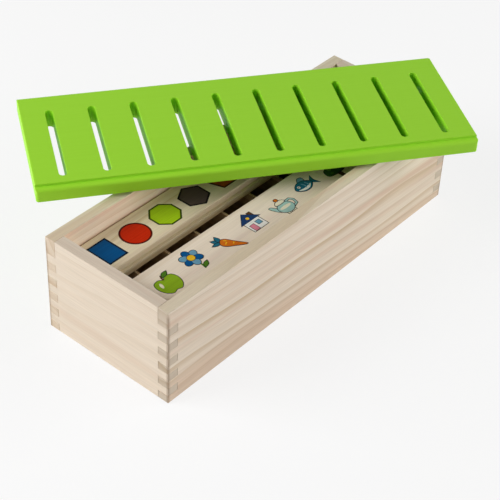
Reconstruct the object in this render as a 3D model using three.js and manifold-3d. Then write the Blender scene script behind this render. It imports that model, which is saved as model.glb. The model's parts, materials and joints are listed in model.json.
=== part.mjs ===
// Sorting box: a finger-jointed wooden box with a row of compartments, printed category boards
// stacked on the dividers, and a painted lid with one slot for each compartment, laid askew on the rim.
// Millimetres, +Z up. The origin is the centre of the underside, +X runs along the length and
// +Y points at the back wall.
import * as THREE from 'three';
import { mergeVertices } from 'three/addons/utils/BufferGeometryUtils.js';
import Module from 'manifold-3d';

// Driving dimensions: the box
const BOX_LENGTH = 350;
const BOX_WIDTH = 126;
const BOX_HEIGHT = 90;
const WALL = 10;
const TOP_FINGER = 15.5; // height of the long walls' top fingers, which are taller than the rest
const FINGER_ROWS = 11; // rows of fingers up each corner, from a bottom to a top row of the long walls
const EDGE_EASE = 0.5; // sanded round along the outside edges
const GLUE_GAP = 0.2; // joint line between glued faces

// Driving dimensions: the base panel and the dividers
const BASE_THICKNESS = 5;
const BASE_REBATE = 5; // how far the panel is let into each wall
const COMPARTMENTS = 10;
const DIVIDER_THICKNESS = 2;
const DIVIDER_TOP = 60; // height of the dividers' top edges above the underside
const DADO_DEPTH = 3; // groove in the long walls that holds a divider's edge

// Driving dimensions: the category boards
const BOARD_THICKNESS = 6;
const BOARD_WIDTH = 38.2;
const BOARD_CORNER = 2; // plan radius of a board's corners
const BOARD_END_CLEARANCE = 0.6; // to each end wall
const BOARD_SEAT_GAP = 0.2; // under each board of a stack
const BACK_STACK_INSET = 1.5; // from the back wall to the upper board of the back stack
const LOWER_BOARD_INSET = 4; // from the back wall to the lower board, which has slid forward
const FRONT_STACK_INSET = 0.6; // from the front wall to the lower boards of the front stack
const PICTURE_BOARD_TURN = -1; // degrees about +Z, as the top board of the front stack lies askew
const PICTURE_BOARD_GAP = 0.4; // from the front wall to that board's nearest corner
const FRONT_STACK_BOARDS = ['lower_front_board', 'middle_front_board', 'picture_board'];
const BACK_STACK_BOARDS = ['lower_back_board', 'shape_board'];

// Driving dimensions: the lid
const LID_END_OVERHANG = 4;
const LID_SIDE_OVERHANG = 1;
const LID_EDGE = 13; // height of the lid's rim
const LID_STEP = 2.2; // small square step along both long edges of the top face
const LID_LEDGE = 3; // flat ledge at the foot of the step
const LID_ROUND = 2.5; // quarter round from the ledge down to the rim
const LID_END_ROUND = 1; // round along the top edge of each end
const LID_CORNER = 2.5; // plan radius of the lid's corners
const PLUG_DEPTH = 3; // raised field underneath that drops inside the walls
const PLUG_CLEARANCE = 0.8; // between that field and each wall when the lid is closed
const SLOT_WIDTH = 6.5;
const SLOT_END_MARGIN = 23.3; // from the lid's end to the first slot's centre line
const SLOT_FRONT_WEB = 1.8; // from the field's front edge to the slots
const SLOT_BACK_WEB = 13.1; // from the field's back edge to the slots
const LID_TURN = -35.7; // degrees about +Z, as the lid lies on the open box
const LID_SHIFT_X = 28.4; // the lid's centre from the box's centre
const LID_SHIFT_Y = 41.5;
const LID_SEAT_GAP = 0.3; // between the rim and the lid that lies on it

const ARC_STEPS = 4; // segments in each eighth of a round
const CUT_PAST = 1; // how far a cutter runs past the face it leaves

// Sizes that follow from them
const INNER_LENGTH = BOX_LENGTH - 2 * WALL;
const INNER_WIDTH = BOX_WIDTH - 2 * WALL;
const COMPARTMENT_PITCH = (INNER_LENGTH + DIVIDER_THICKNESS) / COMPARTMENTS;
const LID_LENGTH = BOX_LENGTH + 2 * LID_END_OVERHANG;
const LID_WIDTH = BOX_WIDTH + 2 * LID_SIDE_OVERHANG;
const PLUG_LENGTH = INNER_LENGTH - 2 * PLUG_CLEARANCE;
const PLUG_WIDTH = INNER_WIDTH - 2 * PLUG_CLEARANCE;
const BOARD_LENGTH = INNER_LENGTH - 2 * BOARD_END_CLEARANCE;
const SLOT_PITCH = (LID_LENGTH - 2 * SLOT_END_MARGIN) / (COMPARTMENTS - 1);

const bareWood = new THREE.MeshStandardMaterial({ color: 0xdccbb6, roughness: 0.65, metalness: 0 });
const plywood = new THREE.MeshStandardMaterial({ color: 0xd6c3a2, roughness: 0.7, metalness: 0 });
const printedWood = new THREE.MeshStandardMaterial({ color: 0xd3c4a4, roughness: 0.6, metalness: 0 });
const greenPaint = new THREE.MeshStandardMaterial({ color: 0x8fca3a, roughness: 0.35, metalness: 0 });

const wasm = await Module();
wasm.setup();

// Turns a closed three.js geometry into a solid that can be joined and cut.
function solidOf(geometry) {
  const bare = geometry.clone();
  bare.deleteAttribute('normal');
  bare.deleteAttribute('uv');
  const merged = mergeVertices(bare);
  const vertProperties = new Float32Array(merged.attributes.position.array);
  const triVerts = new Uint32Array(merged.index.array);
  return new wasm.Manifold(new wasm.Mesh({ numProp: 3, vertProperties, triVerts }));
}

// Turns a solid back into a geometry for a mesh.
function geometryOf(solid) {
  const { vertProperties, triVerts } = solid.getMesh();
  const geometry = new THREE.BufferGeometry();
  geometry.setAttribute('position', new THREE.BufferAttribute(vertProperties, 3));
  geometry.setIndex(new THREE.BufferAttribute(triVerts, 1));
  geometry.computeVertexNormals();
  return geometry;
}

// A block between two corners.
function block(low, high) {
  const lowCorner = new THREE.Vector3(...low);
  const size = new THREE.Vector3(...high).sub(lowCorner);
  const centre = lowCorner.addScaledVector(size, 0.5);
  return new THREE.BoxGeometry(size.x, size.y, size.z).translate(centre.x, centre.y, centre.z);
}

// A rectangle with round corners, centred on the origin.
function roundedRectangle(width, height, radius) {
  const x = width / 2 - radius;
  const y = height / 2 - radius;
  return new THREE.Shape()
    .absarc(x, y, radius, 0, Math.PI / 2)
    .absarc(-x, y, radius, Math.PI / 2, Math.PI)
    .absarc(-x, -y, radius, Math.PI, 1.5 * Math.PI)
    .absarc(x, -y, radius, 1.5 * Math.PI, 2 * Math.PI)
    .closePath();
}

// Three ways to sweep a flat outline: straight up, along the width with the outline's Y as height,
// and along the length with the outline's X as width and its Y as height. Each is centred on its sweep.
function sweepUp(shape, depth) {
  return new THREE.ExtrudeGeometry(shape, { depth, bevelEnabled: false, curveSegments: ARC_STEPS });
}

function sweepAcross(shape, depth) {
  return sweepUp(shape, depth).rotateX(Math.PI / 2).translate(0, depth / 2, 0);
}

function sweepAlong(shape, depth) {
  return sweepAcross(shape, depth).rotateZ(Math.PI / 2);
}

// The sanded outside of the glued-up box, which every wall stays inside.
function sandedOutside() {
  const plan = roundedRectangle(BOX_LENGTH, BOX_WIDTH, EDGE_EASE);
  const front = roundedRectangle(BOX_LENGTH, BOX_HEIGHT, EDGE_EASE);
  const end = roundedRectangle(BOX_WIDTH, BOX_HEIGHT, EDGE_EASE);
  return solidOf(sweepUp(plan, BOX_HEIGHT))
    .intersect(solidOf(sweepAcross(front, BOX_WIDTH).translate(0, 0, BOX_HEIGHT / 2)))
    .intersect(solidOf(sweepAlong(end, BOX_LENGTH).translate(0, 0, BOX_HEIGHT / 2)));
}

// The face of a wall, with its fingers at both ends. A finger row runs to the box's corner, and the
// rows between stop at the shoulder, where the other wall's fingers pass.
function wallFace(outerLength, ownsBottomRow) {
  const rowHeight = (BOX_HEIGHT - TOP_FINGER) / (FINGER_ROWS - 1);
  const corner = outerLength / 2;
  const shoulder = corner - WALL - GLUE_GAP;
  const rightSide = [];
  for (let row = 0; row < FINGER_ROWS; row += 1) {
    const isFinger = (row % 2 === 0) === ownsBottomRow;
    const x = isFinger ? corner : shoulder;
    const inset = isFinger ? GLUE_GAP / 2 : -GLUE_GAP / 2;
    const low = row === 0 ? 0 : row * rowHeight + inset;
    const high = row === FINGER_ROWS - 1 ? BOX_HEIGHT : (row + 1) * rowHeight - inset;
    rightSide.push(new THREE.Vector2(x, low), new THREE.Vector2(x, high));
  }
  const leftSide = rightSide.map((point) => new THREE.Vector2(-point.x, point.y)).reverse();
  return new THREE.Shape([...rightSide, ...leftSide]);
}

// The x of each divider's middle, counted from the left end.
function dividerPlaces() {
  const first = -INNER_LENGTH / 2 + COMPARTMENT_PITCH - DIVIDER_THICKNESS / 2;
  return Array.from({ length: COMPARTMENTS - 1 }, (_, index) => first + index * COMPARTMENT_PITCH);
}

// The base panel's block. A positive gap makes the rebate that it lies in.
function baseBlock(gap) {
  const x = INNER_LENGTH / 2 + BASE_REBATE - GLUE_GAP + gap;
  const y = INNER_WIDTH / 2 + BASE_REBATE - GLUE_GAP + gap;
  const below = gap > 0 ? CUT_PAST : 0;
  return block([-x, -y, -below], [x, y, BASE_THICKNESS + gap]);
}

// A divider's block. A positive gap makes the pair of dados that it stands in.
function dividerBlock(place, gap) {
  const x = DIVIDER_THICKNESS / 2 + gap;
  const y = INNER_WIDTH / 2 + DADO_DEPTH - GLUE_GAP + gap;
  const bottom = BASE_THICKNESS + GLUE_GAP - gap;
  return block([place - x, -y, bottom], [place + x, y, DIVIDER_TOP + gap]);
}

function longWall(side) {
  const face = sweepAcross(wallFace(BOX_LENGTH, true), WALL);
  face.translate(0, side * (BOX_WIDTH - WALL) / 2, 0);
  let wall = solidOf(face).intersect(sandedOutside()).subtract(solidOf(baseBlock(GLUE_GAP)));
  for (const place of dividerPlaces()) {
    wall = wall.subtract(solidOf(dividerBlock(place, GLUE_GAP)));
  }
  return geometryOf(wall);
}

function endWall(side) {
  const face = sweepAlong(wallFace(BOX_WIDTH, false), WALL);
  face.translate(side * (BOX_LENGTH - WALL) / 2, 0, 0);
  return geometryOf(solidOf(face).intersect(sandedOutside()).subtract(solidOf(baseBlock(GLUE_GAP))));
}

function categoryBoard() {
  return sweepUp(roundedRectangle(BOARD_LENGTH, BOARD_WIDTH, BOARD_CORNER), BOARD_THICKNESS);
}

// The lid's section, the same along its whole length: an upright rim, a quarter round, a narrow ledge and
// a small step up to the top face.
function lidSection() {
  const rim = LID_WIDTH / 2;
  const roundCentre = rim - LID_ROUND;
  const step = roundCentre - LID_LEDGE;
  const ledge = LID_EDGE - LID_STEP;
  const roundFoot = ledge - LID_ROUND;
  return new THREE.Shape()
    .moveTo(-rim, 0)
    .lineTo(rim, 0)
    .lineTo(rim, roundFoot)
    .absarc(roundCentre, roundFoot, LID_ROUND, 0, Math.PI / 2)
    .lineTo(step, ledge)
    .lineTo(step, LID_EDGE)
    .lineTo(-step, LID_EDGE)
    .lineTo(-step, ledge)
    .lineTo(-roundCentre, ledge)
    .absarc(-roundCentre, roundFoot, LID_ROUND, Math.PI / 2, Math.PI)
    .closePath();
}

// One slot's cutter: a long hole with round ends, right through the lid.
function slotCutter(place) {
  const front = -PLUG_WIDTH / 2 + SLOT_FRONT_WEB;
  const back = PLUG_WIDTH / 2 - SLOT_BACK_WEB;
  const outline = roundedRectangle(SLOT_WIDTH, back - front, SLOT_WIDTH / 2);
  const depth = LID_EDGE + PLUG_DEPTH + 2 * CUT_PAST;
  return sweepUp(outline, depth).translate(place, (front + back) / 2, -PLUG_DEPTH - CUT_PAST);
}

// The lid about its own centre, with its rim's underside at height 0.
function lidPanel() {
  const plan = roundedRectangle(LID_LENGTH, LID_WIDTH, LID_CORNER);
  const roundedEnds = roundedRectangle(LID_LENGTH, 2 * LID_EDGE, LID_END_ROUND);
  const plug = block(
    [-PLUG_LENGTH / 2, -PLUG_WIDTH / 2, -PLUG_DEPTH],
    [PLUG_LENGTH / 2, PLUG_WIDTH / 2, LID_EDGE / 2],
  );
  let lid = solidOf(sweepAlong(lidSection(), LID_LENGTH))
    .intersect(solidOf(sweepAcross(roundedEnds, LID_WIDTH)))
    .intersect(solidOf(sweepUp(plan, LID_EDGE)))
    .add(solidOf(plug));
  for (let slot = 0; slot < COMPARTMENTS; slot += 1) {
    const place = (slot - (COMPARTMENTS - 1) / 2) * SLOT_PITCH;
    lid = lid.subtract(solidOf(slotCutter(place)));
  }
  return geometryOf(lid);
}

const sortingBox = new THREE.Group();

function addPart(name, geometry, material, group = sortingBox) {
  const mesh = new THREE.Mesh(geometry, material);
  mesh.name = name;
  group.add(mesh);
  return mesh;
}

addPart('front_wall', longWall(-1), bareWood);
addPart('back_wall', longWall(1), bareWood);
addPart('left_end_wall', endWall(-1), bareWood);
addPart('right_end_wall', endWall(1), bareWood);
addPart('base_panel', baseBlock(0), plywood);
dividerPlaces().forEach((place, index) => {
  addPart(`divider_${index + 1}`, dividerBlock(place, 0), plywood);
});

// Each stack of boards stands on the dividers, lowest board first.
function addStack(names, placeOf) {
  return names.map((name, level) => {
    const board = addPart(name, categoryBoard(), printedWood);
    const bottom = DIVIDER_TOP + BOARD_SEAT_GAP + level * (BOARD_THICKNESS + BOARD_SEAT_GAP);
    board.position.set(0, placeOf(level), bottom);
    return board;
  });
}

const boardAtWall = (INNER_WIDTH - BOARD_WIDTH) / 2;
const frontStack = addStack(FRONT_STACK_BOARDS, () => -boardAtWall + FRONT_STACK_INSET);
addStack(BACK_STACK_BOARDS, (level) => boardAtWall - (level === 0 ? LOWER_BOARD_INSET : BACK_STACK_INSET));

// The top board of the front stack lies turned, with one corner close to the front wall.
const pictureBoard = frontStack[frontStack.length - 1];
const turn = THREE.MathUtils.degToRad(PICTURE_BOARD_TURN);
const cornerReach = (BOARD_LENGTH * Math.abs(Math.sin(turn)) + BOARD_WIDTH * Math.cos(turn)) / 2;
pictureBoard.position.y = -INNER_WIDTH / 2 + PICTURE_BOARD_GAP + cornerReach;
pictureBoard.rotation.z = turn;

const lid = addPart('lid_panel', lidPanel(), greenPaint);
lid.position.set(LID_SHIFT_X, LID_SHIFT_Y, BOX_HEIGHT + LID_SEAT_GAP + PLUG_DEPTH);
lid.rotation.z = THREE.MathUtils.degToRad(LID_TURN);

export default sortingBox;
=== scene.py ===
# %% [markdown]
# # A sorting box, dressed in Blender
# The object is a wooden classification toy: a long finger-jointed box of pale bare wood, printed
# category boards that lie on the dividers inside it, and a lime-green painted lid with ten slots.
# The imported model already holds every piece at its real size, so this lesson only gives the pieces
# their finish: eased edges, wood grain, paint and printed ink, then light and a camera.

# %% Load the frame
import json
import math

import bmesh
import bpy
from mathutils import Matrix, Vector

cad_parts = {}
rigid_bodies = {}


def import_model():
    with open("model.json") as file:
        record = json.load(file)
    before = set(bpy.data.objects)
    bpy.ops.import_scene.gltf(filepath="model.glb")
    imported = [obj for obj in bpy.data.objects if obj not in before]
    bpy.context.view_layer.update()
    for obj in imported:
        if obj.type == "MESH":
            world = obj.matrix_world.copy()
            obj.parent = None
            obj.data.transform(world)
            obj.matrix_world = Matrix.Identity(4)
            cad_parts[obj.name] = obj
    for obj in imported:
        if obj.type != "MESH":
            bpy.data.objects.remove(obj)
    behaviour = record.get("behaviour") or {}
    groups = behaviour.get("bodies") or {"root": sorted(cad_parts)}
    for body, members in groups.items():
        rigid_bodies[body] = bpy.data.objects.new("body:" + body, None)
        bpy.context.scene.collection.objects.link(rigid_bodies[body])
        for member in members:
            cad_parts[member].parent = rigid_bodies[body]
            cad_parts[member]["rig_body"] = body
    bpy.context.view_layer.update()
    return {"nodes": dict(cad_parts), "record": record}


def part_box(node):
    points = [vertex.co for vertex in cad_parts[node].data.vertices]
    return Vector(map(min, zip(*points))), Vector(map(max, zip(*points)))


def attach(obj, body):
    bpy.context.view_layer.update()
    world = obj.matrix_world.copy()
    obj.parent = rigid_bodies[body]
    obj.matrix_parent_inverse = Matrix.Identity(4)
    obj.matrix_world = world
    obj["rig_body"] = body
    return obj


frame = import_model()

MM = 0.001  # the scene is in metres, and the sizes below are in millimetres
nodes = frame["nodes"]
print("pieces in the frame:", len(nodes))

# %% [markdown]
# ## The camera
# The photograph looks down at the near left corner of the box through a long lens, which keeps the box's
# sides nearly parallel. A camera placed by eye would come close, but small errors make it hard to judge
# a shape. So the photograph's edges were measured and a camera was fitted to them. It leans a little, so
# its up direction is turned by a roll.

# %% Camera at the photograph's angle
CAMERA_TARGET_MM = (-39.96, -25.04, 45.0)
CAMERA_DISTANCE_MM = 1148.75
CAMERA_AZIMUTH = math.radians(-51.10)
CAMERA_ELEVATION = math.radians(39.72)
CAMERA_ROLL = math.radians(2.77)
CAMERA_LENS_MM = 104.5

away = Vector((
    math.sin(CAMERA_AZIMUTH) * math.cos(CAMERA_ELEVATION),
    -math.cos(CAMERA_AZIMUTH) * math.cos(CAMERA_ELEVATION),
    math.sin(CAMERA_ELEVATION),
))
camera_data = bpy.data.cameras.new("camera")
camera_data.lens = CAMERA_LENS_MM
camera = bpy.data.objects.new("camera", camera_data)
bpy.context.scene.collection.objects.link(camera)
upright = away.to_track_quat("Z", "Y")
camera.rotation_mode = "QUATERNION"
camera.rotation_quaternion = upright @ Matrix.Rotation(CAMERA_ROLL, 3, "Z").to_quaternion()
camera.location = (Vector(CAMERA_TARGET_MM) + away * CAMERA_DISTANCE_MM) * MM
bpy.context.scene.camera = camera
print("camera stands at", [round(value, 3) for value in camera.location])

# %% [markdown]
# ## Helpers for materials
# Colours are written as sRGB hex values, the way a paint program shows them, and Blender's shaders
# want linear light, so one function converts them. A second small function adds a node, sets it up
# and links its inputs, which keeps each material a short list of steps.

# %% Colours and nodes


def linear(hex_colour):
    """An sRGB hex colour such as #E8DAC8 as linear red, green, blue and alpha."""
    shares = [int(hex_colour[place:place + 2], 16) / 255 for place in (1, 3, 5)]
    return [s / 12.92 if s <= 0.04045 else ((s + 0.055) / 1.055) ** 2.4 for s in shares] + [1.0]


def add_node(tree, kind, settings=None, inputs=None):
    """Adds a node. Settings are its own properties, and an input is a value or another node's socket."""
    node = tree.nodes.new(kind)
    for name, value in (settings or {}).items():
        setattr(node, name, value)
    sockets = {socket.identifier: socket for socket in node.inputs}
    for name, value in (inputs or {}).items():
        if isinstance(value, bpy.types.NodeSocket):
            tree.links.new(value, sockets[name])
        else:
            sockets[name].default_value = value
    return node


def new_material(name):
    """A material with an empty node tree, its shader already joined to its output."""
    material = bpy.data.materials.new(name)
    material.use_nodes = True
    tree = material.node_tree
    tree.nodes.clear()
    shader = add_node(tree, "ShaderNodeBsdfPrincipled")
    add_node(tree, "ShaderNodeOutputMaterial", inputs={"Surface": shader.outputs["BSDF"]})
    return material, tree, shader


print("white is", linear("#FFFFFF"))

# %% [markdown]
# ## Floor and light
# The box stands on white paper between two softboxes in a dim studio. The key stands behind on the left
# and makes the end wall the brightest face. The fill stands in front on the right, almost in line with
# the lid's front edge, so that edge stays a shade darker than the lid's top. Stronger lamps could wash
# the background white, but they would wash out the wood too. So the floor and the world are lifted to
# white only for the rays that see them directly or in a reflection. The floor is lifted less near the
# box, where it keeps a soft shadow.

# %% Floor
FLOOR_SIDE_MM = 12000
FLOOR_COLOUR = "#FBFBFB"
FLOOR_GLOW = 0.8  # how far the floor is lifted to white round the box, where the camera sees it
WHITE_FROM_MM = (500, 1600)  # the floor turns fully white over this distance from the box


def seen_directly(tree):
    """1 for a ray from the camera or from a reflection or glass, and 0 for one that only carries light."""
    path = add_node(tree, "ShaderNodeLightPath")
    seen = path.outputs["Is Camera Ray"]
    for ray in ("Is Glossy Ray", "Is Transmission Ray"):
        either = add_node(tree, "ShaderNodeMath", {"operation": "MAXIMUM"}, {
            "Value": seen, "Value_001": path.outputs[ray],
        })
        seen = either.outputs["Value"]
    return seen


floor_mesh = bpy.data.meshes.new("floor")
half_floor = FLOOR_SIDE_MM / 2 * MM
floor_corners = [(x * half_floor, y * half_floor, 0) for x, y in ((-1, -1), (1, -1), (1, 1), (-1, 1))]
floor_mesh.from_pydata(floor_corners, [], [(0, 1, 2, 3)])
floor = bpy.data.objects.new("floor", floor_mesh)
bpy.context.scene.collection.objects.link(floor)
floor_paper, floor_tree, floor_shader = new_material("matt_white_paper")
floor_shader.inputs["Base Color"].default_value = linear(FLOOR_COLOUR)
floor_shader.inputs["Roughness"].default_value = 0.9
floor_shader.inputs["Specular IOR Level"].default_value = 0.1
floor_place = add_node(floor_tree, "ShaderNodeTexCoord")
from_box = add_node(floor_tree, "ShaderNodeVectorMath", {"operation": "LENGTH"}, {
    "Vector": floor_place.outputs["Object"],
})
lift = add_node(floor_tree, "ShaderNodeMapRange", {"interpolation_type": "SMOOTHSTEP"}, {
    "Value": from_box.outputs["Value"],
    "From Min": WHITE_FROM_MM[0] * MM, "From Max": WHITE_FROM_MM[1] * MM, "To Min": FLOOR_GLOW,
})
glow_share = add_node(floor_tree, "ShaderNodeMath", {"operation": "MULTIPLY"}, {
    "Value": seen_directly(floor_tree), "Value_001": lift.outputs["Result"],
})
glow = add_node(floor_tree, "ShaderNodeEmission", inputs={"Color": linear("#FFFFFF"), "Strength": 1.0})
lifted = add_node(floor_tree, "ShaderNodeMixShader", inputs={
    "Fac": glow_share.outputs["Value"],
    "Shader": floor_shader.outputs["BSDF"],
    "Shader_001": glow.outputs["Emission"],
})
floor_tree.links.new(lifted.outputs["Shader"], floor_tree.nodes["Material Output"].inputs["Surface"])
floor_mesh.materials.append(floor_paper)
print("floor side in m:", FLOOR_SIDE_MM * MM)

# %% World and lamps
ROOM_LIGHT = 0.04
SOFTBOXES = {  # each lamp's place in mm, its width and height in mm, and its power in watts
    "key_softbox": ((-1250, 950, 900), (1300, 1300), 30.5),
    "fill_softbox": ((1240, -1450, 760), (2400, 1200), 36.5),
}

world = bpy.data.worlds.new("studio")
bpy.context.scene.world = world
world.use_nodes = True
sky = world.node_tree
sky.nodes.clear()
room = add_node(sky, "ShaderNodeBackground", inputs={"Color": linear("#FFFFFF"), "Strength": ROOM_LIGHT})
backdrop = add_node(sky, "ShaderNodeBackground", inputs={"Color": linear("#FFFFFF"), "Strength": 1.0})
studio = add_node(sky, "ShaderNodeMixShader", inputs={
    "Fac": seen_directly(sky),
    "Shader": room.outputs["Background"],
    "Shader_001": backdrop.outputs["Background"],
})
add_node(sky, "ShaderNodeOutputWorld", inputs={"Surface": studio.outputs["Shader"]})

for name, (place_mm, (width_mm, height_mm), watts) in SOFTBOXES.items():
    lamp_data = bpy.data.lights.new(name, "AREA")
    lamp_data.shape = "RECTANGLE"
    lamp_data.size = width_mm * MM
    lamp_data.size_y = height_mm * MM
    lamp_data.energy = watts
    lamp = bpy.data.objects.new(name, lamp_data)
    lamp.location = Vector(place_mm) * MM
    lamp.rotation_euler = lamp.location.to_track_quat("Z", "Y").to_euler()
    bpy.context.scene.collection.objects.link(lamp)
    print(name, "stands", round(lamp.location.length, 2), "m away with", watts, "W")
bpy.context.scene.view_settings.view_transform = "Standard"

# %% [markdown]
# ## Growth rings
# The walls are a pale, fast-grown pine. A flat picture of wood on each face would be quick to lay on, but
# it breaks at every edge. A tree grows in rings, so here the rings are worked out through the whole
# solid: a point's distance from the tree's heart says which ring it lies in. A face along the grain then
# shows long soft streaks, and a cut across it shows the same rings as arcs, without any extra work.

# %% Rings and streaks
WAVE_LENGTH_MM = 260  # how slowly the grain wanders along a board
WAVE_WIDTH_MM = 45
WANDER_RINGS = 3.2
STREAK_ROUGHNESS = 0.55
LATE_WOOD_SPAN = (0.25, 0.97)  # the part of each year over which the wood darkens
VIGOUR_SPAN = (0.35, 0.7)  # from a poor year to a strong one
VIGOUR_PACE = 0.43  # how fast poor and strong years follow each other


def grain_streaks(tree, board, length_mm, width_mm, detail):
    """Soft streaks along the grain, from 0 to 1, about as long and as wide as given."""
    scaled = add_node(tree, "ShaderNodeVectorMath", {"operation": "MULTIPLY"}, {
        "Vector": board, "Vector_001": (1 / length_mm, 1 / width_mm, 1 / width_mm),
    })
    cloud = add_node(tree, "ShaderNodeTexNoise", inputs={
        "Vector": scaled.outputs["Vector"], "Scale": 1.0, "Detail": detail, "Roughness": STREAK_ROUGHNESS,
    })
    return cloud.outputs["Fac"]


def growth_rings(tree, board, ring_mm):
    """How many rings a point lies from the tree's heart, wandering slowly along the board."""
    across = add_node(tree, "ShaderNodeVectorMath", {"operation": "MULTIPLY"}, {
        "Vector": board, "Vector_001": (0, 1 / ring_mm, 1 / ring_mm),
    })
    distance = add_node(tree, "ShaderNodeVectorMath", {"operation": "LENGTH"}, {
        "Vector": across.outputs["Vector"],
    })
    rings = add_node(tree, "ShaderNodeMath", {"operation": "MULTIPLY_ADD"}, {
        "Value": grain_streaks(tree, board, WAVE_LENGTH_MM, WAVE_WIDTH_MM, 1.0),
        "Value_001": WANDER_RINGS,
        "Value_002": distance.outputs["Value"],
    })
    return rings.outputs["Value"]


def late_wood(tree, rings, figure):
    """How dark a point is within its year, from early wood to late wood, and more so in strong years."""
    year = add_node(tree, "ShaderNodeMath", {"operation": "FRACT"}, {"Value": rings})
    darkening = add_node(tree, "ShaderNodeMapRange", {"interpolation_type": "SMOOTHSTEP"}, {
        "Value": year.outputs["Value"], "From Min": LATE_WOOD_SPAN[0], "From Max": LATE_WOOD_SPAN[1],
    })
    vigour = add_node(tree, "ShaderNodeTexNoise", {"noise_dimensions": "1D"}, {
        "W": rings, "Scale": VIGOUR_PACE, "Detail": 2.0,
    })
    vigour_share = add_node(tree, "ShaderNodeMapRange", inputs={
        "Value": vigour.outputs["Fac"],
        "From Min": VIGOUR_SPAN[0], "From Max": VIGOUR_SPAN[1], "To Max": figure,
    })
    dark = add_node(tree, "ShaderNodeMath", {"operation": "MULTIPLY"}, {
        "Value": darkening.outputs["Result"], "Value_001": vigour_share.outputs["Result"],
    })
    return dark.outputs["Value"]


print("the grain wanders by up to", WANDER_RINGS, "rings in about", WAVE_LENGTH_MM, "mm")

# %% [markdown]
# ## The colours of wood
# Wood isn't one brown. Early wood is pale and late wood darker, broad streaks have a flush of another
# tone, the oldest wood beside the heart is redder, and fine fibres run through it all. One mixed noise
# could stand in for them, but each has its own size and its own reason, so each is a layer of its own.

# %% Streaks, heartwood and fibres
STREAK_LENGTH_MM = 420
STREAK_WIDTH_MM = 13
STREAK_SPAN = (0.46, 0.72)  # where a streak starts in the noise, and where it is full
HEARTWOOD_TINT = (0.92, 0.84, 0.79, 1.0)
HEARTWOOD_FADE_RINGS = 0.8
FIBRE_LENGTH_MM = 38
FIBRE_WIDTH_MM = 0.9  # real fibres are finer, and are drawn this coarse so that they show
FIBRE_SPAN = (0.25, 0.75)
FIBRE_SHADES = (0.92, 1.06)  # how dark and how light a fibre gets


def plank_colour(tree, board, dark, tones, figure):
    """The pale and late tones of the rings, with broad streaks of the third tone."""
    pale, late, flush = [linear(tone) for tone in tones]
    ringed = add_node(tree, "ShaderNodeMixRGB", inputs={"Fac": dark, "Color1": pale, "Color2": late})
    streak = add_node(tree, "ShaderNodeMapRange", {"interpolation_type": "SMOOTHSTEP"}, {
        "Value": grain_streaks(tree, board, STREAK_LENGTH_MM, STREAK_WIDTH_MM, 2.0),
        "From Min": STREAK_SPAN[0], "From Max": STREAK_SPAN[1], "To Max": figure,
    })
    streaked = add_node(tree, "ShaderNodeMixRGB", inputs={
        "Fac": streak.outputs["Result"], "Color1": ringed.outputs["Color"], "Color2": flush,
    })
    return streaked.outputs["Color"]


def with_heartwood(tree, colour, rings, heart_rings):
    """The colour, redder and darker within so many rings of the heart."""
    heart_share = add_node(tree, "ShaderNodeMapRange", {"interpolation_type": "SMOOTHSTEP"}, {
        "Value": rings,
        "From Min": heart_rings - HEARTWOOD_FADE_RINGS, "From Max": heart_rings + HEARTWOOD_FADE_RINGS,
        "To Min": 1.0, "To Max": 0.0,
    })
    hearted = add_node(tree, "ShaderNodeMixRGB", {"blend_type": "MULTIPLY"}, {
        "Fac": heart_share.outputs["Result"], "Color1": colour, "Color2": HEARTWOOD_TINT,
    })
    return hearted.outputs["Color"]


def with_fibres(tree, colour, fibre):
    """The colour, a little lighter or darker from fibre to fibre."""
    shade = add_node(tree, "ShaderNodeMapRange", inputs={
        "Value": fibre,
        "From Min": FIBRE_SPAN[0], "From Max": FIBRE_SPAN[1],
        "To Min": FIBRE_SHADES[0], "To Max": FIBRE_SHADES[1],
    })
    shaded = add_node(tree, "ShaderNodeVectorMath", {"operation": "SCALE"}, {
        "Vector": colour, "Scale": shade.outputs["Result"],
    })
    return shaded.outputs["Vector"]


print("fibres are drawn", FIBRE_WIDTH_MM, "mm wide and streaks", STREAK_WIDTH_MM, "mm")

# %% [markdown]
# ## Cut ends, rims and corners
# End grain drinks light, so it is drawn darker, which is what makes finger joints stand out. The way a face
# looks tells where the end grain is, so no face has to be picked by hand. Faces that look up get a painted
# tint of the light that falls on them. The box's upright corners get a painted shade line.

# %% End grain, rim light and corner shade
END_SPAN = (0.55, 0.9)  # how squarely a face must look along the grain to count as a cut end
END_WARMTH = (1.0, 0.98, 0.95)  # cut fibres look browner than their sides
RIM_SPAN = (0.6, 0.9)  # how squarely a face must look up to count as a rim
# painted shade line along the box's upright corners: its colour and how strongly it shows
CORNER_SHADE_COLOUR = "#8A6E54"
CORNER_SHARE = 0.48
CORNER_SHADE_MM = (0.8, 2.6)  # the painted shade of a corner is darkest up to here, and fades out by here
CORNER_SHADE_BELOW_RIM_MM = (2, 6)  # the painted corner shade starts this far below the rim, and is full from here
BOX_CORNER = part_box("back_wall")[1]


def with_end_grain(tree, colour, along, dark, tones, end_shade):
    """The colour, and the same rings in darker tones where the surface looks along the grain."""
    square = add_node(tree, "ShaderNodeMath", {"operation": "ABSOLUTE"}, {"Value": along})
    is_end = add_node(tree, "ShaderNodeMapRange", {"interpolation_type": "SMOOTHSTEP"}, {
        "Value": square.outputs["Value"], "From Min": END_SPAN[0], "From Max": END_SPAN[1],
    })
    pale, late = [
        [end_shade * warmth * share for warmth, share in zip(END_WARMTH, linear(tone))] + [1.0]
        for tone in tones[:2]
    ]
    end_grain = add_node(tree, "ShaderNodeMixRGB", inputs={"Fac": dark, "Color1": pale, "Color2": late})
    ended = add_node(tree, "ShaderNodeMixRGB", inputs={
        "Fac": is_end.outputs["Result"], "Color1": colour, "Color2": end_grain.outputs["Color"],
    })
    return ended.outputs["Color"]


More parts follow.
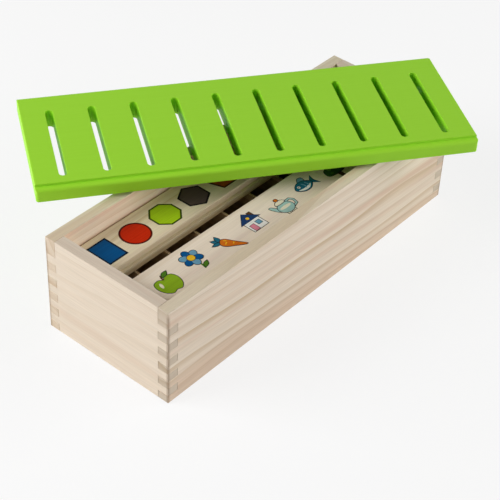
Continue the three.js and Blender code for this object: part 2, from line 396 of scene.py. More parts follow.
def with_rim(tree, colour, upward, rim_tint):
    """The colour, with a painted tint of the light on faces that look up."""
    is_rim = add_node(tree, "ShaderNodeMapRange", inputs={
        "Value": upward, "From Min": RIM_SPAN[0], "From Max": RIM_SPAN[1],
    })
    rimmed = add_node(tree, "ShaderNodeMixRGB", {"blend_type": "MULTIPLY"}, {
        "Fac": is_rim.outputs["Result"], "Color1": colour, "Color2": (*rim_tint, 1.0),
    })
    return rimmed.outputs["Color"]


def with_shaded_corners(tree, colour, place):
    """The colour, with a painted shade line along the box's upright corners."""
    reach = add_node(tree, "ShaderNodeVectorMath", {"operation": "ABSOLUTE"}, {"Vector": place})
    inset = add_node(tree, "ShaderNodeVectorMath", {"operation": "SUBTRACT"}, {
        "Vector": BOX_CORNER, "Vector_001": reach.outputs["Vector"],
    })
    sides = add_node(tree, "ShaderNodeSeparateXYZ", inputs={"Vector": inset.outputs["Vector"]})
    from_corner = add_node(tree, "ShaderNodeMath", {"operation": "MAXIMUM"}, {
        "Value": sides.outputs["X"], "Value_001": sides.outputs["Y"],
    })
    is_corner = add_node(tree, "ShaderNodeMapRange", {"interpolation_type": "SMOOTHSTEP"}, {
        "Value": from_corner.outputs["Value"],
        "From Min": CORNER_SHADE_MM[0] * MM, "From Max": CORNER_SHADE_MM[1] * MM,
        "To Min": CORNER_SHARE, "To Max": 0.0,
    })
    below_rim = add_node(tree, "ShaderNodeMapRange", {"interpolation_type": "SMOOTHSTEP"}, {
        "Value": sides.outputs["Z"], "From Min": CORNER_SHADE_BELOW_RIM_MM[0] * MM, "From Max": CORNER_SHADE_BELOW_RIM_MM[1] * MM,
    })
    corner_shade = add_node(tree, "ShaderNodeMath", {"operation": "MULTIPLY"}, {
        "Value": is_corner.outputs["Result"], "Value_001": below_rim.outputs["Result"],
    })
    thinned_or_shaded = add_node(tree, "ShaderNodeMixRGB", inputs={
        "Fac": corner_shade.outputs["Value"], "Color1": colour, "Color2": linear(CORNER_SHADE_COLOUR),
    })
    return thinned_or_shaded.outputs["Color"]


print("the box's far corner in mm:", [round(side / MM, 1) for side in BOX_CORNER])

# %% [markdown]
# ## Bare wood
# The pieces are sawn, planed and sanded, and left bare, so the surface is matt and the fibres stand up a
# little. All the layers come together here. Each board is cut from its own place in the tree, so no two
# look alike.

# %% Sawn wood
FIBRE_RELIEF_MM = 0.05
FIBRE_RELIEF_STRENGTH = 0.5
WOOD_ROUGHNESS = (0.72, 0.56)  # between the fibres, and on them
WOOD_SPECULAR = 0.3


def sawn_wood(
    name, grain, heart_mm, ring_mm, tones,
    end_shade=0.8, figure=1.0, shift_mm=0, slope=0, heart_rings=0, rim_tint=(1, 1, 1),
):
    """Bare wood whose grain runs along the frame's X or Y. The heart is where the tree's middle lies, across
    the grain and in height, ring_mm the width of a year's growth, and figure says how strongly the darker
    tones show. The shift is along the grain, the slope tips it by some degrees, heart_rings is how many
    rings are heartwood, and rim_tint is a painted tint of the light that falls on faces that look up. The
    box's upright corners get a painted shade line."""
    material, tree, shader = new_material(name)
    place = add_node(tree, "ShaderNodeTexCoord")
    turn = 0 if grain == "X" else -math.pi / 2
    in_tree = add_node(tree, "ShaderNodeMapping", inputs={
        "Vector": place.outputs["Object"],
        "Scale": (1 / MM, 1 / MM, 1 / MM),
        "Rotation": (0, math.radians(slope), turn),
        "Location": (shift_mm, -heart_mm[0], -heart_mm[1]),
    })
    board = in_tree.outputs["Vector"]
    facing = add_node(tree, "ShaderNodeSeparateXYZ", inputs={"Vector": place.outputs["Normal"]})
    rings = growth_rings(tree, board, ring_mm)
    dark = late_wood(tree, rings, figure)
    fibre = grain_streaks(tree, board, FIBRE_LENGTH_MM, FIBRE_WIDTH_MM, 2.0)

    colour = plank_colour(tree, board, dark, tones, figure)
    colour = with_heartwood(tree, colour, rings, heart_rings)
    colour = with_fibres(tree, colour, fibre)
    colour = with_end_grain(tree, colour, facing.outputs[grain], dark, tones, end_shade)
    # painted tint of the light that falls on the rim
    colour = with_rim(tree, colour, facing.outputs["Z"], rim_tint)
    # painted shade along the box's upright corners
    colour = with_shaded_corners(tree, colour, place.outputs["Object"])

    relief = add_node(tree, "ShaderNodeBump", inputs={
        "Height": fibre, "Distance": FIBRE_RELIEF_MM * MM, "Strength": FIBRE_RELIEF_STRENGTH,
    })
    roughness = add_node(tree, "ShaderNodeMapRange", inputs={
        "Value": fibre, "To Min": WOOD_ROUGHNESS[0], "To Max": WOOD_ROUGHNESS[1],
    })
    tree.links.new(colour, shader.inputs["Base Color"])
    tree.links.new(roughness.outputs["Result"], shader.inputs["Roughness"])
    tree.links.new(relief.outputs["Normal"], shader.inputs["Normal"])
    shader.inputs["Specular IOR Level"].default_value = WOOD_SPECULAR
    return material


print("the fibres stand", FIBRE_RELIEF_MM, "mm high")

# %% Walls
WALL_RING_MM = 11
WALL_END_SHADE = 0.75
WALL_TONES = ("#E6D7C4", "#CDB597", "#D9BDA6")  # early wood, late wood and the flush of the streaks
BACK_LIGHTENED_TONES = ("#F8E6D0", "#E5CBAC", "#EDCEB4")  # paler, pinker tones: painted light that lifts the back wall's shaded inner face
WALLS = {  # the way each wall's grain runs, its heart in mm, its tones, and what sets it apart
    # each rim_tint is a painted tint of the light on that wall's rim
    "front_wall": ("X", (-40, -130), WALL_TONES, {
        "slope": -3, "heart_rings": 14.9, "rim_tint": (1.0, 1.0, 0.92),
    }),
    "back_wall": ("X", (-20, 210), BACK_LIGHTENED_TONES, {"shift_mm": 500, "rim_tint": (0.87, 0.935, 0.89)}),
    "left_end_wall": ("Y", (60, -170), WALL_TONES, {"shift_mm": 900, "figure": 0.35}),
    "right_end_wall": ("Y", (-70, 240), WALL_TONES, {"shift_mm": 1400, "figure": 0.35}),
}


def dress(node_name, material):
    """Gives a piece of the frame its material."""
    nodes[node_name].material_slots[0].material = material


for wall, (grain, heart_mm, tones, own) in WALLS.items():
    pine = "bare_pine_" + wall.split("_")[0]
    dress(wall, sawn_wood(pine, grain, heart_mm, WALL_RING_MM, tones, WALL_END_SHADE, **own))
print("walls dressed in bare pine, rings", WALL_RING_MM, "mm wide")

# %% [markdown]
# ## Plywood
# The base and the dividers are thin plywood. The base's veneer is drawn darker, as painted shade for the
# deep compartments. The faces have quiet grain, and the edges show the plies: thin layers whose grain runs
# the other way in every second one, so they look light and dark in turn. Each ply could be a slab of its
# own, but they are glued flush, so stripes counted through the thickness say the same.

# %% Plywood for the base and the dividers
DIVIDER_TONES = ("#C6AC84", "#AE9268", "#BA9E78")
# darker tones: painted shade for the deep compartments
BASE_SHADED_TONES = ("#8F7150", "#745839", "#83664A")
PLY_TONES = ("#DCC7A2", "#B08E63")
VENEER_HEART_MM = (-30, -90)
VENEER_RING_MM = 9


def plywood(name, grain, thickness_axis, plies, tones):
    """A veneer face, with stripes for the plies on the edges, counted through the piece's thickness."""
    material = sawn_wood(name, grain, VENEER_HEART_MM, VENEER_RING_MM, tones)
    tree = material.node_tree
    shader = next(node for node in tree.nodes if node.type == "BSDF_PRINCIPLED")
    face = shader.inputs["Base Color"].links[0].from_socket
    place = add_node(tree, "ShaderNodeTexCoord")
    depth = add_node(tree, "ShaderNodeSeparateXYZ", inputs={"Vector": place.outputs["Generated"]})
    ply = add_node(tree, "ShaderNodeMath", {"operation": "MULTIPLY"}, {
        "Value": depth.outputs[thickness_axis], "Value_001": plies / 2,
    })
    turn = add_node(tree, "ShaderNodeMath", {"operation": "FRACT"}, {"Value": ply.outputs["Value"]})
    crossed = add_node(tree, "ShaderNodeMath", {"operation": "GREATER_THAN"}, {
        "Value": turn.outputs["Value"], "Value_001": 0.5,
    })
    striped = add_node(tree, "ShaderNodeMixRGB", inputs={
        "Fac": crossed.outputs["Value"],
        "Color1": linear(PLY_TONES[0]), "Color2": linear(PLY_TONES[1]),
    })
    facing = add_node(tree, "ShaderNodeSeparateXYZ", inputs={"Vector": place.outputs["Normal"]})
    toward = add_node(tree, "ShaderNodeMath", {"operation": "ABSOLUTE"}, {
        "Value": facing.outputs[thickness_axis],
    })
    is_edge = add_node(tree, "ShaderNodeMath", {"operation": "LESS_THAN"}, {
        "Value": toward.outputs["Value"], "Value_001": 0.5,
    })
    coloured = add_node(tree, "ShaderNodeMixRGB", inputs={
        "Fac": is_edge.outputs["Value"],
        "Color1": face, "Color2": striped.outputs["Color"],
    })
    tree.links.new(coloured.outputs["Color"], shader.inputs["Base Color"])
    return material


dress("base_panel", plywood("plywood_base", "X", "Z", 5, BASE_SHADED_TONES))
divider_ply = plywood("birch_plywood_divider", "Y", "X", 3, DIVIDER_TONES)
dividers = sorted(name for name in nodes if name.startswith("divider_"))
for divider in dividers:
    dress(divider, divider_ply)
print("plywood on the base and", len(dividers), "dividers")

# %% [markdown]
# ## Basswood boards
# The category boards are a finer wood than the walls, sanded smooth so that print sits well on it. They
# need no new material: the same rings serve, with narrower years and closer tones. The picture board is
# the palest of them.

# %% Category boards
BOARD_RING_MM = 4.5
BOARD_END_SHADE = 0.72
BOARD_TONES = ("#F0E1C0", "#DFCAA1", "#E9D6B8")
PICTURE_BOARD_TONES = ("#F8E8D3", "#E9D5BA", "#F0DCC8")
BOARD_SPREAD = 7  # sets the boards apart along the tree, by so many times the height of their hearts
BOARD_HEARTS_MM = {
    "shape_board": (-60, 190),
    "lower_back_board": (90, -140),
    "picture_board": (40, 230),
    "middle_front_board": (-110, 180),
    "lower_front_board": (70, -200),
}
for board_name, heart_mm in BOARD_HEARTS_MM.items():
    tones = PICTURE_BOARD_TONES if board_name == "picture_board" else BOARD_TONES
    basswood = sawn_wood(
        "basswood_" + board_name, "X", heart_mm, BOARD_RING_MM, tones, BOARD_END_SHADE,
        shift_mm=heart_mm[1] * BOARD_SPREAD,
    )
    dress(board_name, basswood)
print("basswood on", len(BOARD_HEARTS_MM), "boards")

# %% [markdown]
# ## Lime-green paint
# The lid is sprayed with satin paint over sanded wood. Paint hides the colour of the wood but not
# quite its surface: a trace of the grain still shows as very low ridges along the lid, and the spray
# leaves a fine orange peel. Both are only a few hundredths of a millimetre high, far too low to model, so
# they are bumps in the material. The grain runs along the lid, so first the way the lid lies is measured.

# %% How the lid lies


def middle(corners):
    """The middle of a box in the record, as a vector."""
    return (Vector(corners[0]) + Vector(corners[1])) / 2


openings = {opening["name"]: opening["box_m"] for opening in frame["record"]["physics"]["openings"]}
slot_row = middle(openings["lid_slot_10_front"]) - middle(openings["lid_slot_1_front"])
lid_turn = math.atan2(slot_row.y, slot_row.x)
print("the lid lies turned by", round(math.degrees(lid_turn), 1), "degrees")

# %% Lid paint
PAINT_TONES = ("#A2E430", "#A8E936")  # in the hollows of the grain, and on its ridges
PEEL_MM = 1.6
PEEL_SHARE = 0.35  # the orange peel's height, as a share of the grain's
GRAIN_TRACE_MM = (55, 1.3)
PAINT_RELIEF_MM = 0.03
PAINT_RELIEF_STRENGTH = 0.35

paint, paint_tree, paint_shader = new_material("satin_lime_paint")
paint_place = add_node(paint_tree, "ShaderNodeTexCoord")
lid_frame = add_node(paint_tree, "ShaderNodeMapping", inputs={
    "Vector": paint_place.outputs["Object"],
    "Scale": (1 / MM, 1 / MM, 1 / MM),
    "Rotation": (0, 0, -lid_turn),
})
trace_scale = add_node(paint_tree, "ShaderNodeVectorMath", {"operation": "MULTIPLY"}, {
    "Vector": lid_frame.outputs["Vector"],
    "Vector_001": (1 / GRAIN_TRACE_MM[0], 1 / GRAIN_TRACE_MM[1], 1 / GRAIN_TRACE_MM[1]),
})
trace = add_node(paint_tree, "ShaderNodeTexNoise", inputs={
    "Vector": trace_scale.outputs["Vector"], "Scale": 1.0, "Detail": 2.0,
})
peel = add_node(paint_tree, "ShaderNodeTexNoise", inputs={
    "Vector": lid_frame.outputs["Vector"], "Scale": 1 / PEEL_MM, "Detail": 1.0,
})
surface = add_node(paint_tree, "ShaderNodeMath", {"operation": "MULTIPLY_ADD"}, {
    "Value": peel.outputs["Fac"], "Value_001": PEEL_SHARE, "Value_002": trace.outputs["Fac"],
})
paint_relief = add_node(paint_tree, "ShaderNodeBump", inputs={
    "Height": surface.outputs["Value"],
    "Distance": PAINT_RELIEF_MM * MM, "Strength": PAINT_RELIEF_STRENGTH,
})
tone = add_node(paint_tree, "ShaderNodeMixRGB", inputs={
    "Fac": trace.outputs["Fac"], "Color1": linear(PAINT_TONES[0]), "Color2": linear(PAINT_TONES[1]),
})
paint_tree.links.new(tone.outputs["Color"], paint_shader.inputs["Base Color"])
paint_tree.links.new(paint_relief.outputs["Normal"], paint_shader.inputs["Normal"])
paint_shader.inputs["Roughness"].default_value = 0.5
paint_shader.inputs["Specular IOR Level"].default_value = 0.25
dress("lid_panel", paint)
print("the lid's paint has an orange peel of", PEEL_MM, "mm")

# %% [markdown]
# ## Eased edges
# No real edge is perfectly sharp: sandpaper takes a fraction of a millimetre off every arris, and that
# thin round catches the light. The frame's meshes stay as they are, and a stack of modifiers does the
# rest: weld the loose corners, merge the flat triangles into whole faces, bevel the sharp edges, and
# keep the big faces flat in the shading. No single face can run round a hole, so a pierced piece has its
# faces split into triangles again before the bevel.

# %% Edge modifiers
EDGE_MM = {"wall": 0.2, "divider": 0.2, "base": 0.2, "board": 0.7, "panel": 0.15}
PIERCED = ("lid_panel",)  # pieces with holes right through a face
WELD_MM = 0.002
FLAT_WITHIN = math.radians(0.5)  # triangles that agree this well are one face
SHARP_FROM = math.radians(40)  # edges that turn at least this much are rounded
ROUND_STRIPS = 2
FLAT_WEIGHT = 100  # the largest faces alone decide the shading


def ease_edges(node_name, radius_mm):
    """Rounds a piece's sharp edges without touching its mesh."""
    piece = nodes[node_name]
    weld = piece.modifiers.new("weld", "WELD")
    weld.merge_threshold = WELD_MM * MM
    merge = piece.modifiers.new("merge_flat", "DECIMATE")
    merge.decimate_type = "DISSOLVE"
    merge.angle_limit = FLAT_WITHIN
    if node_name in PIERCED:
        split = piece.modifiers.new("split_pierced", "TRIANGULATE")
        split.ngon_method = "CLIP"
    bevel = piece.modifiers.new("ease", "BEVEL")
    bevel.width = radius_mm * MM
    bevel.segments = ROUND_STRIPS
    bevel.limit_method = "ANGLE"
    bevel.angle_limit = SHARP_FROM
    bevel.use_clamp_overlap = False
    normals = piece.modifiers.new("flat_faces", "WEIGHTED_NORMAL")
    normals.weight = FLAT_WEIGHT


for node_name in nodes:
    kind = next(word for word in EDGE_MM if word in node_name)
    ease_edges(node_name, EDGE_MM[kind])
print("edges eased on", len(nodes), "pieces")

# %% [markdown]
# ## Printed ink
# The boards are screen-printed: each colour is a flat film of ink a few hundredths of a millimetre
# thick, with a dark contour printed under it. An image laid on the board would blur when seen from near.
# So here each colour is a thin closed slab cut to its outline, and each stands a hair higher than those
# it covers, as real layers of ink do. The outlines are drawn with a few points and curves, in
# millimetres, around the middle of the picture.

# %% Inks
INK_COLOURS = {
    "line": "#1E1A18", "blue": "#02538D", "navy": "#1C3A66", "red": "#CF2C0A", "green": "#ACD11E",
    "lime": "#8FB421", "leaf": "#4C7A1E", "forest": "#2C5222", "brown": "#5A3A20", "slate": "#564942",
    "orange": "#D8701A", "rust": "#A85418", "yellow": "#F0BE2A", "cream": "#F3E9CF", "white": "#F6F3EC",
    "pink": "#E48C9C", "teal": "#1D6A80", "sky": "#6FA3BC", "mint": "#A6CBC4", "purple": "#6A3F86",
    "blue_line": "#04182A", "red_line": "#561408", "green_line": "#3A4A04", "slate_line": "#1A1412",
    "rust_line": "#4A2408",
}
INK_GRAIN_MM = (30, 0.8)
INK_SPAN = (0.3, 0.7)
INK_SHADES = (0.9, 1.08)  # where the film is full, and where the wood shines through
inks = {}


def ink(name):
    """Printing ink on wood: a flat colour with a satin surface, a little thinner along the fibres."""
    if name in inks:
        return inks[name]
    material, tree, shader = new_material("screen_ink_" + name)
    place = add_node(tree, "ShaderNodeTexCoord")
    fibres = add_node(tree, "ShaderNodeMapping", inputs={
        "Vector": place.outputs["Object"],
        "Scale": (1 / MM / INK_GRAIN_MM[0], 1 / MM / INK_GRAIN_MM[1], 1 / MM / INK_GRAIN_MM[1]),
    })
    film = add_node(tree, "ShaderNodeTexNoise", inputs={
        "Vector": fibres.outputs["Vector"], "Scale": 1.0, "Detail": 2.0,
    })
    strength = add_node(tree, "ShaderNodeMapRange", inputs={
        "Value": film.outputs["Fac"],
        "From Min": INK_SPAN[0], "From Max": INK_SPAN[1],
        "To Min": INK_SHADES[0], "To Max": INK_SHADES[1],
    })
    thinned_or_shaded = add_node(tree, "ShaderNodeVectorMath", {"operation": "SCALE"}, {
        "Vector": linear(INK_COLOURS[name])[:3], "Scale": strength.outputs["Result"],
    })
    tree.links.new(thinned_or_shaded.outputs["Vector"], shader.inputs["Base Color"])
    shader.inputs["Roughness"].default_value = 0.6
    shader.inputs["Specular IOR Level"].default_value = 0.08
    inks[name] = material
    return material


print("inks to choose from:", len(INK_COLOURS))

# %% Plain outlines
ROUND_STEPS = 48  # points round a whole circle


def oval(x, y, width, height, turn=0):
    """An ellipse about (x, y), turned by some degrees."""
    angle = math.radians(turn)
    points = []
    for step in range(ROUND_STEPS):
        share = 2 * math.pi * step / ROUND_STEPS
        across, up = width / 2 * math.cos(share), height / 2 * math.sin(share)
        points.append((
            x + across * math.cos(angle) - up * math.sin(angle),
            y + across * math.sin(angle) + up * math.cos(angle),
        ))
    return points


def regular(sides, radius, first_corner, x=0, y=0):
    """A regular polygon whose first corner lies at that angle in degrees."""
    angles = [math.radians(first_corner + 360 * side / sides) for side in range(sides)]
    return [(x + radius * math.cos(angle), y + radius * math.sin(angle)) for angle in angles]


def plate(x, y, width, height):
    """A rectangle about (x, y)."""
    across, up = width / 2, height / 2
    return [(x - across, y - up), (x + across, y - up), (x + across, y + up), (x - across, y + up)]


print("an oval has", len(oval(0, 0, 10, 10)), "points")

# %% Drawn outlines
CURVE_STEPS = 8  # points in each stretch of a smooth outline


def smooth(corners):
    """A closed smooth curve through a few points."""
    count = len(corners)
    points = []
    for place in range(count):
        before, start, end, after = [Vector(corners[(place + step - 1) % count]) for step in range(4)]
        for step in range(CURVE_STEPS):
            t = step / CURVE_STEPS
            bend = (2 * before - 5 * start + 4 * end - after) * t * t
            curl = (3 * start - before - 3 * end + after) * t ** 3
            points.append(tuple(start + ((end - before) * t + bend + curl) / 2))
    return points


def leaf(start, end, width):
    """A pointed leaf from one point to another."""
    start, end = Vector(start), Vector(end)
    side = (end - start).orthogonal().normalized() * width / 2
    shares = [step / CURVE_STEPS for step in range(CURVE_STEPS + 1)]
    right = [start.lerp(end, share) - side * math.sin(math.pi * share) for share in shares]
    left = [start.lerp(end, share) + side * math.sin(math.pi * share) for share in shares[1:-1]]
    return [tuple(point) for point in right + left[::-1]]


def stroke(corners, width):
    """A line of even width through some points, such as a stem."""
    points = [Vector(corner) for corner in corners]
    left, right = [], []
    for place, point in enumerate(points):
        ahead = points[min(place + 1, len(points) - 1)] - points[max(place - 1, 0)]
        side = ahead.orthogonal().normalized() * width / 2
        left.append(tuple(point + side))
        right.append(tuple(point - side))
    return right + left[::-1]


print("a leaf has", len(leaf((0, 0), (10, 0), 4)), "points")

# %% Contours
CONTOUR_MM = 0.6


def grown(outline, margin):
    """The outline moved outwards by a margin, for the dark contour round a colour."""
    count = len(outline)
    area = sum(
        outline[place - 1][0] * outline[place][1] - outline[place][0] * outline[place - 1][1]
        for place in range(count)
    )
    outward = math.copysign(1, area)
    points = []
    for place, corner in enumerate(outline):
        before = (Vector(corner) - Vector(outline[place - 1])).normalized()
        after = (Vector(outline[(place + 1) % count]) - Vector(corner)).normalized()
        normal = Vector((before.y + after.y, -before.x - after.x)) * outward
        reach = margin * 2 / max(normal.length_squared, 1.0)
        points.append(tuple(Vector(corner) + normal * reach))
    return points


def inked(outline, colour, contour="line", margin=CONTOUR_MM):
    """A colour with a contour under it, as two layers."""
    return [(grown(outline, margin), contour), (outline, colour)]


print("a colour and its contour are", len(inked(oval(0, 0, 10, 10), "red")), "layers")

# %% How a board lies


def board_turn(board_name):
    """How far a board lies turned about the upright axis: the direction in which its corners spread most."""
    low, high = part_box(board_name)
    spread = [vertex.co - (low + high) / 2 for vertex in nodes[board_name].data.vertices]
    along = sum(point.x ** 2 for point in spread)
    across = sum(point.y ** 2 for point in spread)
    skew = sum(point.x * point.y for point in spread)
    return math.atan2(2 * skew, along - across) / 2


print("the picture board lies turned by", round(math.degrees(board_turn("picture_board")), 2), "degrees")

# %% Printing
INK_FILM_MM = 0.02  # each layer of ink stands this much higher than what it covers
INK_SINK_MM = 0.02  # how far the ink soaks into the wood


def overlap(first, second):
    """Whether the boxes of two outlines overlap."""
    return all(
        min(point[axis] for point in first) < max(point[axis] for point in second)
        and min(point[axis] for point in second) < max(point[axis] for point in first)
        for axis in (0, 1)
    )


def print_on(board_name, piece_name, place_mm, layers):
    """Prints a picture on a board's top face, at a place counted from the board's middle. Its layers are
    outlines with their inks, lowest first."""
    low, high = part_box(board_name)
    lies = Matrix.Translation((low + high) / 2) @ Matrix.Rotation(board_turn(board_name), 4, "Z")
    mesh = bpy.data.meshes.new(piece_name)
    slabs = bmesh.new()
    used = []
    levels = []
    for outline, colour in layers:
        covered = [level for level, (lower, _) in zip(levels, layers) if overlap(lower, outline)]
        levels.append(max(covered, default=0) + 1)
        if colour not in used:
            used.append(colour)
            mesh.materials.append(ink(colour))
        surface = (high.z - low.z) / 2
        bottom = surface - INK_SINK_MM * MM
        top = surface + INK_FILM_MM * levels[-1] * MM
        rows = []
        for height in (bottom, top):
            rows.append([
                slabs.verts.new(lies @ Vector(((place_mm[0] + x) * MM, (place_mm[1] + y) * MM, height)))
                for x, y in outline
            ])
        count = len(outline)
        faces = [slabs.faces.new(rows[0][::-1]), slabs.faces.new(rows[1])]
        for corner in range(count):
            following = (corner + 1) % count
            faces.append(slabs.faces.new((
                rows[0][corner], rows[0][following], rows[1][following], rows[1][corner],
            )))
        for face in faces:
            face.material_index = used.index(colour)
    bmesh.ops.recalc_face_normals(slabs, faces=slabs.faces)
    slabs.to_mesh(mesh)
    slabs.free()
    piece = bpy.data.objects.new(piece_name, mesh)
    bpy.context.scene.collection.objects.link(piece)
    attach(piece, nodes[board_name]["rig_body"])


print("each layer of ink is", INK_FILM_MM, "mm thick")

# %% [markdown]
# ## The shape board
# The upper board at the back carries plain shapes in strong colours, one above each compartment. Each
# has a thin contour in a darker shade of its own colour. Such shapes need no drawing: a number of sides,
# a size and a turn give every corner.

# %% Shapes
PRINT_PITCH_MM = 32.4
FIRST_PRINT_MM = -141.4  # the first print's middle, along the box
SHAPE_ROW_MM = -0.45  # the shapes' middle line, from the board's own
SHAPE_CONTOUR_MM = 1.6

SHAPES = [
    ("rectangle", plate(0.4, 0.7, 16.8, 22.8), "blue", "blue_line"),
    ("circle", oval(-2, 0, 23.2, 23.2), "red", "red_line"),
    ("octagon", regular(8, 12.5, 22.5, -1.4, -0.4), "green", "green_line"),
    ("hexagon", regular(6, 12.2, 90, -1, -1), "slate", "slate_line"),
    ("pentagon", regular(5, 13, 90), "rust", "rust_line"),
    ("triangle", regular(3, 14.5, 90, 0, -3), "yellow", "rust_line"),
    ("oval", oval(0, 0, 18, 25), "pink", "red_line"),
    ("square", plate(0, 0, 21, 21), "teal", "blue_line"),
    ("diamond", regular(4, 14, 90), "purple", "slate_line"),
    ("trapezium", [(-12, -9), (12, -9), (7, 9), (-7, 9)], "leaf", "green_line"),
]
for place, (shape, outline, colour, contour) in enumerate(SHAPES):
    along = FIRST_PRINT_MM + place * PRINT_PITCH_MM
    layers = inked(outline, colour, contour, SHAPE_CONTOUR_MM)
    print_on("shape_board", "printed_" + shape, (along, SHAPE_ROW_MM), layers)
print("shapes printed:", len(SHAPES))

# %% [markdown]
# ## The picture board
# The top board at the front carries small pictures. These are simple things that any child knows,
# drawn from ovals, leaves and smooth outlines in flat colours, and set a little up and down in turn.

# %% Apple, flower and carrot


def apple():
    """A green apple with its leaf."""
    body = smooth([
        (0, 5.4), (3.6, 7.4), (8.6, 6.2), (10.4, 0.6), (8.6, -6), (4.4, -9.8),
        (0, -8.8), (-4.4, -9.8), (-8.6, -6), (-10.4, 0.6), (-8.6, 6.2), (-3.6, 7.4),
    ])
    stem = stroke([(0, 5), (0.5, 8), (2, 10.6)], 1.5)
    return [
        *inked(body, "lime"), (oval(-5.6, 1.6, 2.6, 6, -14), "cream"),
        (stem, "brown"), *inked(leaf((1.4, 8), (8.6, 11.4), 3.6), "leaf"),
    ]


def flower():
    """A flower with six petals in two blues."""
    layers = [(stroke([(0, -2), (0.6, -7), (0, -12)], 1.5), "leaf")]
    layers += inked(leaf((0.2, -11), (6.6, -6.6), 3.4), "leaf")
    petals = []
    for petal in range(6):
        turn = 60 * petal + 30
        angle = math.radians(turn)
        petals.append(oval(5.4 * math.cos(angle), 3.6 + 5.4 * math.sin(angle), 8, 6, turn))
    layers += [(grown(petal, CONTOUR_MM), "line") for petal in petals]
    layers += [(petal, "blue" if place % 2 else "sky") for place, petal in enumerate(petals)]
    return layers + inked(oval(0, 3.6, 6.4, 6.4), "yellow", margin=0.5)


def carrot():
    """A carrot that lies aslant, with three leaves."""
    layers = []
    for tip, width in (((-8.4, 10.4), 3.4), ((-2.6, 12), 3.6), ((-11.4, 5.2), 3)):
        layers += inked(leaf((-3.6, 4), tip, width), "teal")
    root = smooth([(-5.4, 2.2), (-2.2, 6), (1.6, 4.4), (5.2, -2.2), (10.4, -11), (2.6, -6.4), (-3.6, -2)])
    layers += inked(root, "orange")
    for start, end in (((-2.6, 0), (0, 1.4)), ((2.4, -3.6), (4.2, -2.2)), ((-0.6, 4.2), (1, 2.6))):
        layers.append((stroke([start, end], 0.9), "yellow"))
    return layers


print("layers in the flower:", len(flower()))

# %% House, teapot and fish


def house():
    """A white house with a chimney."""
    return [
        *inked(plate(5.6, 6.4, 3, 6), "brown"),
        *inked(plate(0, -4.4, 15.6, 12), "white"),
        *inked([(-10.4, 1.2), (10.4, 1.2), (0, 11.2)], "navy"),
        *inked(plate(-3.6, -6.6, 4.4, 7.2), "pink", margin=0.4),
        *inked(plate(3.6, -4, 4.2, 4.2), "sky", margin=0.4),
        (oval(0, 4.6, 3, 3), "yellow"),
    ]


def teapot():
    """A teapot with a band of cream."""
    handle = [(5.6, -6.4), (10.6, -5), (11.6, -0.6), (9.6, 2.6), (5.4, 2.4)]
    spout = smooth([(-5.8, -5.6), (-9, -3), (-11.8, 4), (-9.6, 4.4), (-7, 0.6), (-4.6, 0.8)])
    return [
        (stroke(handle, 2.8), "line"), (stroke(handle, 1.6), "mint"),
        *inked(spout, "mint"), *inked(plate(0, -9.2, 9, 2), "cream"),
        *inked(oval(0, -3, 15, 12.6), "mint"), (oval(0, -2.4, 12, 3.4), "cream"),
        *inked(smooth([(-5, 3.2), (0, 2.4), (5, 3.2), (3.2, 5.8), (0, 6.6), (-3.2, 5.8)]), "cream"),
        *inked(oval(0, 8.2, 3, 3), "orange"),
    ]


def fish():
    """A fish that looks to the left."""
    body = smooth([(-11, 0), (-6, 5), (1, 5.4), (6.6, 1.6), (6.6, -1.6), (1, -5.4), (-6, -5)])
    return [
        *inked([(5.6, 0), (12, 6), (10, 0), (12, -6)], "teal"),
        *inked(smooth([(-3, 4.4), (0.6, 9.4), (4.4, 8.6), (3, 3.6)]), "sky"),
        *inked(body, "teal"),
        (smooth([(-9.4, -1.4), (-4, -2.2), (2, -1.6), (5, -1.2), (0.6, -4.4), (-5.6, -4.2)]), "white"),
        (stroke([(-1.6, 3.4), (-0.6, 0), (-1.6, -3)], 0.9), "sky"),
        (stroke([(2, 3), (2.8, 0), (2, -2.6)], 0.9), "sky"),
        *inked(oval(-6.4, 1.4, 2.8, 2.8), "white", margin=0.3), (oval(-6.6, 1.3, 1.3, 1.3), "line"),
    ]


print("layers in the teapot:", len(teapot()))

# %% Tree, strawberry, star and grapes


def tree():
    """A tree with lighter leaves in its crown."""
    crown = smooth([(-4, -4), (-10, -2), (-9, 4), (-5, 6.6), (0, 11.4), (5, 6.6), (9, 4), (10, -2), (4, -4)])
    return [
        *inked(stroke([(0, -11.6), (0.2, -7), (0, -2)], 3), "brown"), *inked(crown, "forest"),
        (oval(-3.4, 3.6, 4.4, 3.4, 20), "leaf"), (oval(4, 1, 4.6, 3.2, -20), "leaf"),
        (oval(-5, -1.2, 3, 2.2), "leaf"), (oval(1, 7.4, 2.8, 2.2), "leaf"),
    ]


def strawberry():
    """A strawberry with its seeds and leaves."""
    body = smooth([(0, 6), (5, 7), (8.4, 3.4), (6, -4.4), (0, -11), (-6, -4.4), (-8.4, 3.4), (-5, 7)])
    layers = inked(body, "red")
    for x, y in ((-4, 1.6), (0, 2.6), (4, 1.6), (-2.4, -2.4), (2.4, -2.4), (0, -6)):
        layers.append((oval(x, y, 1, 1.8), "yellow"))
    for tip in ((-6.6, 8.2), (-3, 11), (3, 11), (6.6, 8.2)):
        layers += inked(leaf((0, 5.4), tip, 3), "leaf", margin=0.4)
    return layers


def star():
    """A star with five points."""
    corners = []
    for place in range(10):
        radius = 11.4 if place % 2 == 0 else 5
        corners.append(regular(10, radius, 90)[place])
    return [*inked(corners, "yellow", "rust"), (oval(0, 0, 5.4, 5.4), "cream")]


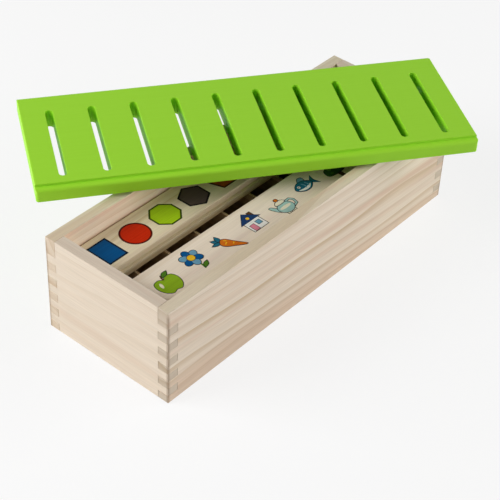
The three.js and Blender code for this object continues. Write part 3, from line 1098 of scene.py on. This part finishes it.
def grapes():
    """A bunch of six grapes, each with a gleam."""
    layers = [(stroke([(0, 4), (0.4, 8), (-1, 11)], 1.4), "brown")]
    layers += inked(leaf((0.4, 7), (8.4, 10.6), 4.2), "leaf")
    rows = [(-5.4, 2.6), (0, 3.4), (5.4, 2.6), (-2.8, -2.2), (2.8, -2.2), (0, -7)]
    for x, y in rows:
        layers += inked(oval(x, y, 5.8, 5.8), "purple", margin=0.5)
    return layers + [(oval(x - 1.2, y + 1.2, 1.3, 1.3), "pink") for x, y in rows]


print("layers in the grapes:", len(grapes()))

# %% The row of pictures
PICTURES = [apple, flower, carrot, house, teapot, fish, tree, strawberry, star, grapes]
PICTURE_ROW_MM = -1  # the pictures' middle line, from the board's own
PICTURE_SWAY_MM = 2.2  # every second picture lies this much nearer the back, the others nearer the front

for place, picture in enumerate(PICTURES):
    sway = PICTURE_SWAY_MM if place % 2 else -PICTURE_SWAY_MM
    along = FIRST_PRINT_MM + place * PRINT_PITCH_MM
    print_on("picture_board", "printed_" + picture.__name__, (along, PICTURE_ROW_MM + sway), picture())
print("pictures printed:", len(PICTURES))

# %% [markdown]
# ## The boards underneath
# The boards below the top ones show once they are lifted out. They carry plain teaching prints, each a
# short loop: dots to count, drops of colour, and balls that grow. Their ink must stay thinner than the
# gap to the board that lies on them, so each has only a few layers.

# %% Dots, drops and balls
DOT_MM = 4.8
DOT_PITCH_MM = (9, 6)  # two columns of up to five dots
DOT_COLOURS = ("red", "blue")
DROP_COLOURS = ("red", "orange", "yellow", "lime", "forest", "sky", "blue", "purple", "pink", "brown")
BALLS_MM = (6, 26)  # the smallest and the largest ball
BALL_BAND = (0.47, 0.22)  # the band's half length and its width, as shares of the ball's diameter


def dots(count):
    """That many dots in pairs, counted from the bottom."""
    places = [(dot % 2 - 0.5, dot // 2 - 2) for dot in range(count)]
    colour = DOT_COLOURS[count % 2]
    return [(oval(x * DOT_PITCH_MM[0], y * DOT_PITCH_MM[1], DOT_MM, DOT_MM), colour) for x, y in places]


def drop(colour):
    """A drop of paint with its gleam."""
    body = smooth([
        (0, 13), (4.4, 4.4), (8.4, -3.4), (6, -9.4), (0, -11.4), (-6, -9.4), (-8.4, -3.4), (-4.4, 4.4),
    ])
    return [*inked(body, colour), (oval(-4, -3.6, 2, 5.4, -14), "cream")]


def ball(diameter):
    """A ball with a band round it."""
    reach = diameter * BALL_BAND[0]
    band = stroke([(-reach, 0), (reach, 0)], diameter * BALL_BAND[1])
    return [*inked(oval(0, 0, diameter, diameter), "orange"), (band, "cream")]


print("layers in a drop:", len(drop("red")))

# %% The three lower boards
for place, colour in enumerate(DROP_COLOURS):
    along = FIRST_PRINT_MM + place * PRINT_PITCH_MM
    count = place + 1
    growth = place / (len(DROP_COLOURS) - 1)
    print_on("lower_back_board", f"printed_count_{count}", (along, 0), dots(count))
    print_on("middle_front_board", f"printed_drop_{colour}", (along, 0), drop(colour))
    diameter = BALLS_MM[0] + growth * (BALLS_MM[1] - BALLS_MM[0])
    print_on("lower_front_board", f"printed_ball_{count}", (along, 0), ball(diameter))
print("prints on the boards underneath:", 3 * len(DROP_COLOURS))
